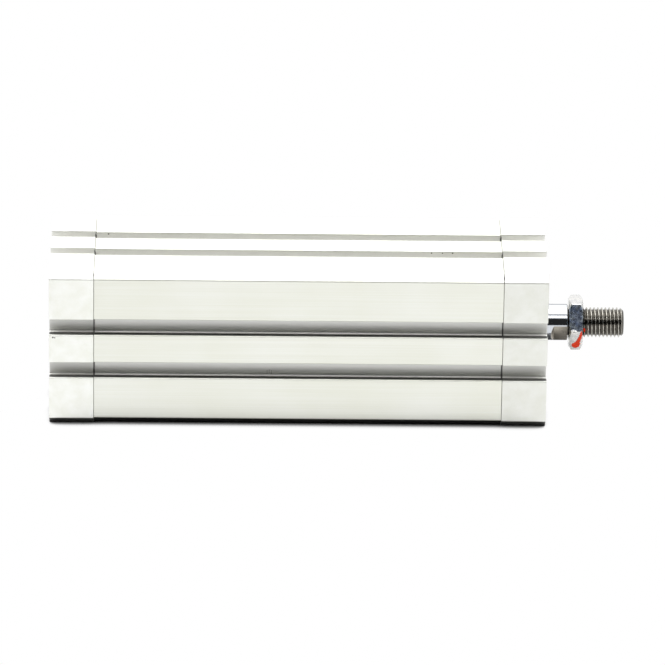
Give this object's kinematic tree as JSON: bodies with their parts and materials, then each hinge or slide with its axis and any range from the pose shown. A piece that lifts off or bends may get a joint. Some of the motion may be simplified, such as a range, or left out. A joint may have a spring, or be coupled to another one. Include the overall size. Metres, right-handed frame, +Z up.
{
  "type": "compact air cylinder",
  "caption": "Double-acting compact air cylinder: slotted square barrel between two caps, round chromed rod with wrench flats, male thread and jam nut.",
  "frame": {"origin": "centre of the rear cap's mounting face", "axes": "+X along the rod, out of the front cap; +Z up as it lies, away from the side it rests on; the ports open towards +Y"},
  "size_m": [0.1886, 0.0538, 0.0538],
  "materials": {
    "anodised_barrel": "clear anodised, satin",
    "blasted_cap": "blasted and anodised, matt and slightly mottled",
    "machined_aluminium": "turned",
    "chromed_rod": "hard chromed and ground",
    "zinc_plated_nut": "zinc plated, dulled",
    "zinc_plated_screw": "zinc plated",
    "bronze_bush": "sintered bronze",
    "seal_polyurethane": "moulded polyurethane",
    "seal_rubber": "moulded nitrile rubber",
    "guide_acetal": "moulded acetal",
    "bonded_magnet": "plastic-bonded magnet"
  },
  "bodies": {
    "housing": {"barrel": "anodised_barrel", "bearing_bush": "bronze_bush", "front_bumper": "seal_rubber", "front_cap": "blasted_cap", "front_screw_a": "zinc_plated_screw", "front_screw_b": "zinc_plated_screw", "front_screw_c": "zinc_plated_screw", "front_screw_d": "zinc_plated_screw", "front_seal_ring": "seal_rubber", "rear_bumper": "seal_rubber", "rear_cap": "blasted_cap", "rear_screw_a": "zinc_plated_screw", "rear_screw_b": "zinc_plated_screw", "rear_screw_c": "zinc_plated_screw", "rear_screw_d": "zinc_plated_screw", "rear_seal_ring": "seal_rubber", "rod_seal": "seal_polyurethane"},
    "piston_rings": {"piston_seal_rear": "seal_polyurethane", "piston_seal_front": "seal_polyurethane", "guide_ring": "guide_acetal"},
    "rod": {"piston_rear": "machined_aluminium", "piston_front": "machined_aluminium", "magnet_ring": "bonded_magnet", "piston_nut": "zinc_plated_nut", "piston_rod": "chromed_rod", "rod_nut": "zinc_plated_nut"}
  },
  "joints": [
    {"name": "rod_stroke", "type": "slide", "parent": "housing", "child": "piston_rings", "axis": [1, 0, 0], "range_m": [0, 0.11]},
    {"name": "rod_turn", "type": "hinge", "parent": "piston_rings", "child": "rod", "pos_m": [0.0191, 0, 0], "axis": [1, 0, 0], "continuous": true}
  ]
}
